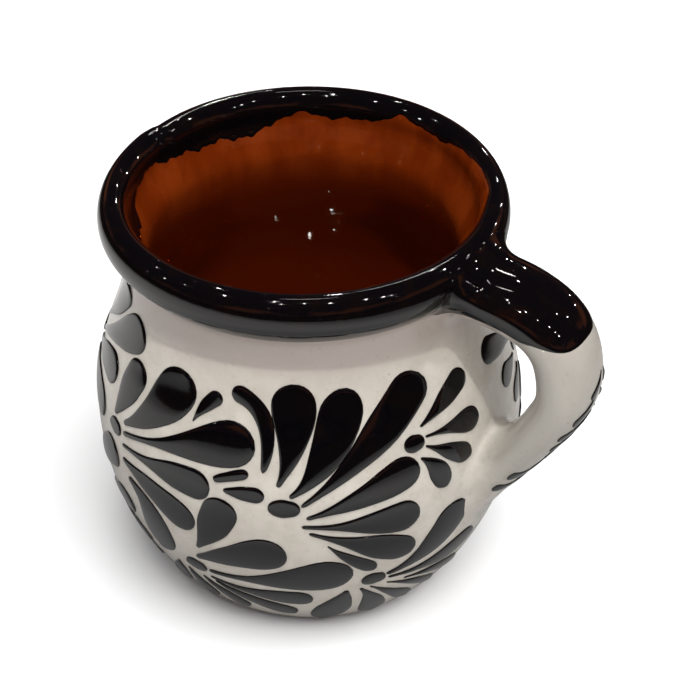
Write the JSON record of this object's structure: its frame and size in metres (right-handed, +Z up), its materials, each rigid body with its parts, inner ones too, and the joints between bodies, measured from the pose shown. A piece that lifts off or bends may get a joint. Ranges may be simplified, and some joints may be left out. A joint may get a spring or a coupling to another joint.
{
  "type": "clay mug",
  "caption": "Round-bellied glazed clay mug with a rolled black lip, a looped handle and raised black plume sprays on cream glaze.",
  "frame": {"origin": "middle of the foot, on the table", "axes": "+Z up along the pot's axis, +X from the axis towards the handle, +Y to the left of the handle seen from above with the handle pointing away"},
  "size_m": [0.1224, 0.0996, 0.1004],
  "materials": {
    "clay": "matte",
    "cream_glaze": "gloss",
    "black_glaze": "gloss",
    "amber_glaze": "gloss",
    "black_relief": "gloss"
  },
  "bodies": {
    "root": {"clay_pot": "clay", "clay_handle": "clay", "upper_root_fillet": "black_glaze", "lower_root_fillet": "cream_glaze", "cream_glaze_pot": "cream_glaze", "black_glaze_lip": "black_glaze", "amber_glaze_lining": "amber_glaze", "cream_glaze_handle": "cream_glaze", "black_glaze_handle": "black_glaze", "left_spray": "black_relief", "front_spray": "black_relief", "small_fan": "black_relief", "lower_left_spray": "black_relief", "lower_right_spray": "black_relief", "filler_strokes": "black_relief", "far_left_spray": "black_relief", "lower_far_left_spray": "black_relief", "behind_handle_spray": "black_relief", "back_spray": "black_relief", "back_left_spray": "black_relief", "lower_back_right_spray": "black_relief", "lower_back_spray": "black_relief", "lower_back_left_spray": "black_relief", "handle_leaves": "black_relief"}
  },
  "joints": []
}
